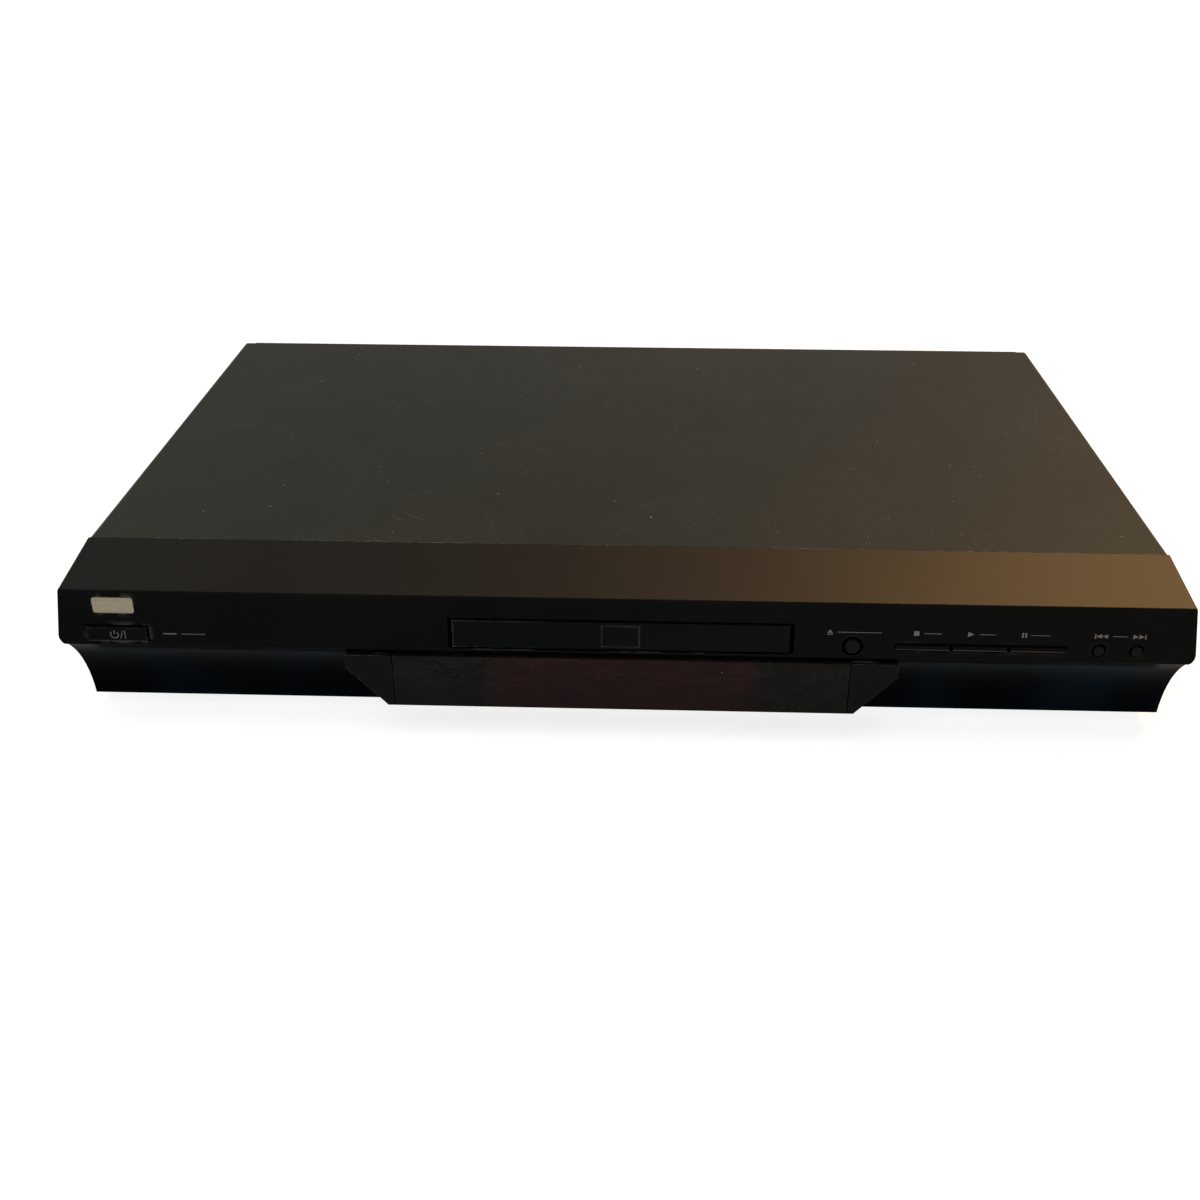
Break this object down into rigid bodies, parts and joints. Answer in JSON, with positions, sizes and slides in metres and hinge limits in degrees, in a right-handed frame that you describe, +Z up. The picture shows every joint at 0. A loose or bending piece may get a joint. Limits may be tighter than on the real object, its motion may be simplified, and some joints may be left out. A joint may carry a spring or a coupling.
{
  "type": "disc player",
  "caption": "Low black full-width disc player with a bevelled front, a cove under it, a dark display block, push keys and a motorised tray that slides out.",
  "frame": {"origin": "centre of the bounding box on the floor, under the feet", "axes": "+Z up, +X to the viewer's right, the front with the tray faces -Y"},
  "size_m": [0.44, 0.2946, 0.07],
  "materials": {
    "cover_paint": "satin baked paint",
    "front_plastic": "black moulding, satin bevel over glossy cove",
    "zinc_steel": "zinc plated sheet",
    "rear_paint": "matt black paint",
    "foot_plastic": "black moulding",
    "zinc_screw": "zinc plated",
    "black_screw": "black oxide",
    "bezel_plastic": "glossy black moulding",
    "tinted_window": "dark red tinted acrylic",
    "display_glass": "grey display glass",
    "circuit_board": "green solder mask",
    "power_board_laminate": "brown paper laminate",
    "badge_metal": "champagne anodised",
    "key_plastic": "black moulding",
    "lamp_plastic": "red tinted light pipe",
    "switch_plastic": "black switch body",
    "tray_plastic": "black moulding, fine texture",
    "door_plastic": "satin black moulding",
    "loader_plastic": "dark glass-filled moulding",
    "gear_plastic": "natural acetal",
    "belt_rubber": "drive belt",
    "motor_steel": "plated can",
    "pickup_metal": "die-cast sled",
    "lens_glass": "coated objective lens",
    "polished_rod": "ground steel",
    "chip_plastic": "moulded packages",
    "can_sleeve": "sleeved can",
    "transformer_wrap": "yellow winding tape and ferrite",
    "sink_aluminium": "extruded",
    "connector_plastic": "off-white nylon",
    "ribbon_plastic": "white flat cable",
    "harness_plastic": "bundled wires",
    "socket_plastic": "black moulding",
    "nickel_sleeve": "nickel plate",
    "ring_plastic": "coloured insulators"
  },
  "bodies": {
    "cabinet": {"badge_plate": "badge_metal", "chassis_base": "zinc_steel", "clamp_bridge": "zinc_steel", "cover_screws": "black_screw", "display_bezel": "bezel_plastic", "display_board": "circuit_board", "display_tube": "display_glass", "display_window": "tinted_window", "drive_belt": "belt_rubber", "feet": "foot_plastic", "front_panel": "front_plastic", "front_ribbon": "ribbon_plastic", "heat_sink": "sink_aluminium", "inlet_pins": "nickel_sleeve", "inner_screws": "zinc_screw", "jack_block": "socket_plastic", "jack_rings": "ring_plastic", "jack_sleeves": "nickel_sleeve", "key_board": "circuit_board", "key_switches": "switch_plastic", "loader_frame": "loader_plastic", "loading_motor": "motor_steel", "main_board": "circuit_board", "main_board_capacitors": "can_sleeve", "main_board_chips": "chip_plastic", "mains_inlet": "socket_plastic", "optical_socket": "socket_plastic", "power_board": "power_board_laminate", "power_capacitors": "can_sleeve", "power_connector": "connector_plastic", "power_harness": "harness_plastic", "power_key_board": "circuit_board", "power_transformer": "transformer_wrap", "rear_panel": "rear_paint", "standby_lens": "lamp_plastic", "top_cover": "cover_paint", "video_socket": "socket_plastic"},
    "tray": {"tray": "tray_plastic", "tray_door": "door_plastic"},
    "drive_gear": {"drive_gear": "gear_plastic"},
    "pulley_gear": {"pulley_gear": "gear_plastic"},
    "motor_pulley": {"motor_pulley": "gear_plastic"},
    "cam_slider": {"cam_slider": "gear_plastic"},
    "traverse": {"traverse_frame": "loader_plastic", "spindle_motor": "motor_steel", "guide_rods": "polished_rod", "sled_motor": "motor_steel"},
    "turntable": {"turntable": "loader_plastic"},
    "pickup": {"pickup": "pickup_metal", "pickup_lens": "lens_glass"},
    "lead_screw": {"lead_screw": "polished_rod"},
    "clamper": {"clamper": "gear_plastic"},
    "power_button": {"power_button": "key_plastic"},
    "open_close_button": {"open_close_button": "key_plastic"},
    "stop_button": {"stop_button": "key_plastic"},
    "play_button": {"play_button": "key_plastic"},
    "pause_button": {"pause_button": "key_plastic"},
    "skip_back_button": {"skip_back_button": "key_plastic"},
    "skip_next_button": {"skip_next_button": "key_plastic"}
  },
  "joints": [
    {"name": "tray_slide", "type": "slide", "parent": "cabinet", "child": "tray", "axis": [0, -1, 0], "range_m": [0, 0.137]},
    {"name": "drive_gear_spin", "type": "hinge", "parent": "cabinet", "child": "drive_gear", "pos_m": [-0.0418, -0.1059, 0.04068], "axis": [0, 0, 1], "continuous": true},
    {"name": "pulley_gear_spin", "type": "hinge", "parent": "cabinet", "child": "pulley_gear", "pos_m": [-0.0238, -0.1059, 0.03478], "axis": [0, 0, 1], "continuous": true},
    {"name": "motor_pulley_spin", "type": "hinge", "parent": "cabinet", "child": "motor_pulley", "pos_m": [0.014, -0.1059, 0.03478], "axis": [0, 0, 1], "continuous": true},
    {"name": "traverse_tilt", "type": "hinge", "parent": "cabinet", "child": "traverse", "pos_m": [0, 0.0341, 0.03188], "axis": [-1, 0, 0], "range_deg": [0, 4.41]},
    {"name": "cam_slide", "type": "slide", "parent": "cabinet", "child": "cam_slider", "axis": [1, 0, 0], "range_m": [0, 0.018]},
    {"name": "turntable_spin", "type": "hinge", "parent": "traverse", "child": "turntable", "pos_m": [0, -0.07085, 0.04023], "axis": [0, -0.0769, 0.997], "continuous": true},
    {"name": "pickup_slide", "type": "slide", "parent": "traverse", "child": "pickup", "axis": [0, 0.997, 0.0769], "range_m": [0, 0.032]},
    {"name": "lead_screw_spin", "type": "hinge", "parent": "traverse", "child": "lead_screw", "pos_m": [-0.033, -0.07005, 0.02987], "axis": [0, 0.997, 0.0769], "continuous": true},
    {"name": "clamper_spin", "type": "hinge", "parent": "cabinet", "child": "clamper", "pos_m": [0, -0.0699, 0.05488], "axis": [0, 0, 1], "continuous": true},
    {"name": "power_press", "type": "slide", "parent": "cabinet", "child": "power_button", "axis": [0, 1, 0], "range_m": [0, 0.0008], "stiffness_N_per_m": 400},
    {"name": "open_close_press", "type": "slide", "parent": "cabinet", "child": "open_close_button", "axis": [0, 1, 0], "range_m": [0, 0.0008], "stiffness_N_per_m": 400},
    {"name": "stop_press", "type": "slide", "parent": "cabinet", "child": "stop_button", "axis": [0, 1, 0], "range_m": [0, 0.0008], "stiffness_N_per_m": 400},
    {"name": "play_press", "type": "slide", "parent": "cabinet", "child": "play_button", "axis": [0, 1, 0], "range_m": [0, 0.0008], "stiffness_N_per_m": 400},
    {"name": "pause_press", "type": "slide", "parent": "cabinet", "child": "pause_button", "axis": [0, 1, 0], "range_m": [0, 0.0008], "stiffness_N_per_m": 400},
    {"name": "skip_back_press", "type": "slide", "parent": "cabinet", "child": "skip_back_button", "axis": [0, 1, 0], "range_m": [0, 0.0008], "stiffness_N_per_m": 400},
    {"name": "skip_next_press", "type": "slide", "parent": "cabinet", "child": "skip_next_button", "axis": [0, 1, 0], "range_m": [0, 0.0008], "stiffness_N_per_m": 400}
  ],
  "couplings": [
    {"joint": "drive_gear_spin", "follows": "tray_slide", "rad_per_m": 83.333},
    {"joint": "pulley_gear_spin", "follows": "tray_slide", "rad_per_m": -166.67},
    {"joint": "motor_pulley_spin", "follows": "tray_slide", "rad_per_m": -558.33},
    {"joint": "cam_slide", "follows": "traverse_tilt", "m_per_rad": 0.23377},
    {"joint": "lead_screw_spin", "follows": "pickup_slide", "rad_per_m": 2094.4}
  ]
}
